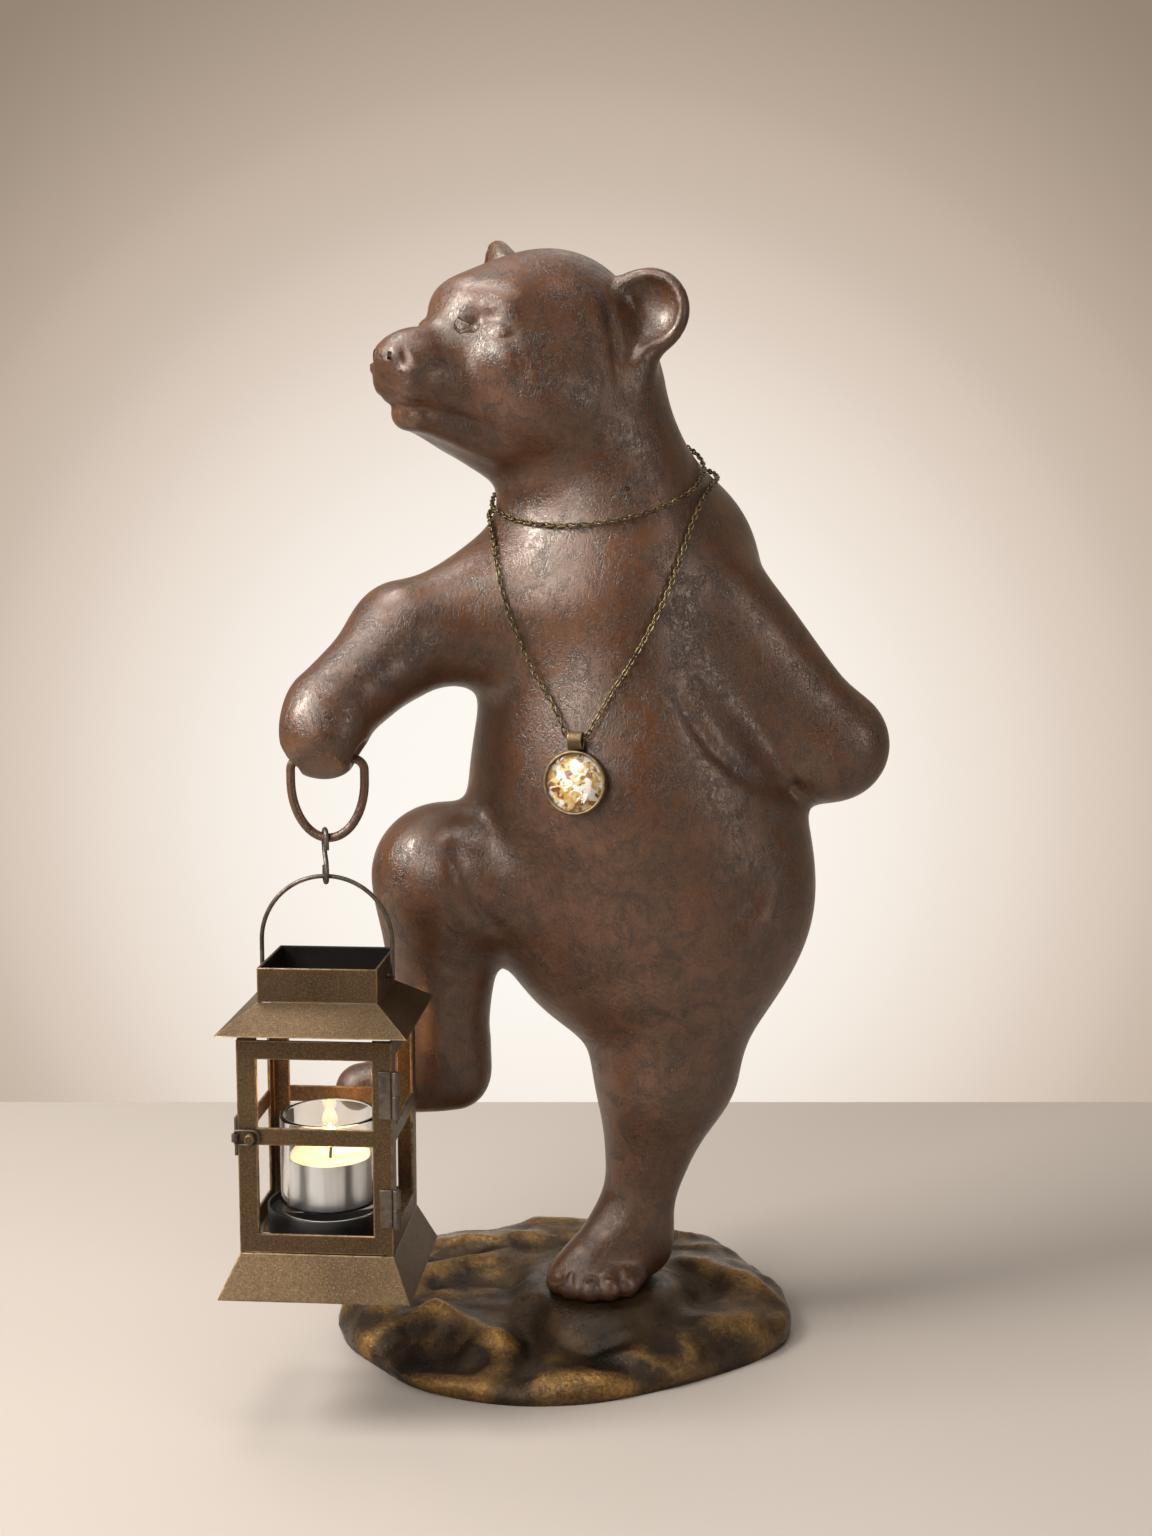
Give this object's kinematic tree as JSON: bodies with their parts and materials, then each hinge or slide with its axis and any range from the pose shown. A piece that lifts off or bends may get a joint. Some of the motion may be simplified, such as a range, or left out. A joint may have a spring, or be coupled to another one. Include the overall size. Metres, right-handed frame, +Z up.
{
  "type": "cast metal bear sculpture",
  "caption": "Cast metal bear on one leg on a rock base, hand on its back, holding out a ring with a hanging candle lantern, with a pendant necklace",
  "frame": {"origin": "middle of the rock base's flat underside", "axes": "+Z up along the figure, -Y the way the chest and the lantern's door face, -X towards the paw that holds the lantern"},
  "size_m": [0.2981, 0.2241, 0.5371],
  "materials": {
    "brown_patina": "satin brown patina on cast metal",
    "gilded_rock": "glossy dark bronze rubbed with gold",
    "antique_brass": "aged and speckled",
    "dark_wire": "dark bronze",
    "black_sheet": "matt black",
    "clear_glass": "clear",
    "pendant_glass": "clear dome over pale and amber flecks",
    "candle_tin": "bright thin sheet",
    "candle_wax": "translucent wax",
    "wick": "charred cotton"
  },
  "bodies": {
    "figure": {"bear_figure": "brown_patina", "rock_base": "gilded_rock", "chain_upper_turn": "antique_brass", "chain_lower_turn": "antique_brass", "pendant_strap": "antique_brass", "pendant_bezel": "antique_brass", "pendant_glass": "pendant_glass"},
    "ring": {"paw_ring": "brown_patina", "s_hook": "dark_wire", "lantern_bail": "dark_wire"},
    "lantern": {"collar": "antique_brass", "roof": "antique_brass", "skirt": "antique_brass", "lantern_floor": "antique_brass", "post_front_left": "antique_brass", "post_back_left": "antique_brass", "post_front_right": "antique_brass", "post_back_right": "antique_brass", "rail_left_bottom": "antique_brass", "rail_right_bottom": "antique_brass", "rail_back_bottom": "antique_brass", "rail_left_middle": "antique_brass", "rail_right_middle": "antique_brass", "rail_back_middle": "antique_brass", "rail_left_top": "antique_brass", "rail_right_top": "antique_brass", "rail_back_top": "antique_brass", "tray": "black_sheet", "glass_cup": "clear_glass", "candle_cup": "candle_tin", "wax": "candle_wax", "wick": "wick", "hinge_upper_cage_barrel": "antique_brass", "hinge_lower_cage_barrel": "antique_brass", "latch_plate": "antique_brass", "latch_eye": "antique_brass"},
    "door": {"door_frame": "antique_brass", "knob": "antique_brass", "hinge_upper_door_barrel": "antique_brass", "hinge_lower_door_barrel": "antique_brass", "hinge_upper_leaf": "antique_brass", "hinge_lower_leaf": "antique_brass"},
    "latch": {"latch_loop": "dark_wire"}
  },
  "joints": [
    {"name": "ring_swing", "type": "hinge", "parent": "figure", "child": "ring", "pos_m": [-0.0988, -0.087, 0.2977], "axis": [-1, 0, 0], "range_deg": [-1, 40]},
    {"name": "lantern_swing", "type": "hinge", "parent": "ring", "child": "lantern", "pos_m": [-0.1003, -0.087, 0.2], "axis": [-1, 0, 0], "range_deg": [-4, 60]},
    {"name": "door_hinge", "type": "hinge", "parent": "lantern", "child": "door", "pos_m": [-0.0644, -0.1204, 0.1305], "axis": [0, 0, 1], "range_deg": [0, 110]},
    {"name": "latch_swing", "type": "hinge", "parent": "lantern", "child": "latch", "pos_m": [-0.1352, -0.1217, 0.135], "axis": [0, 0, -1], "range_deg": [0, 150]}
  ]
}
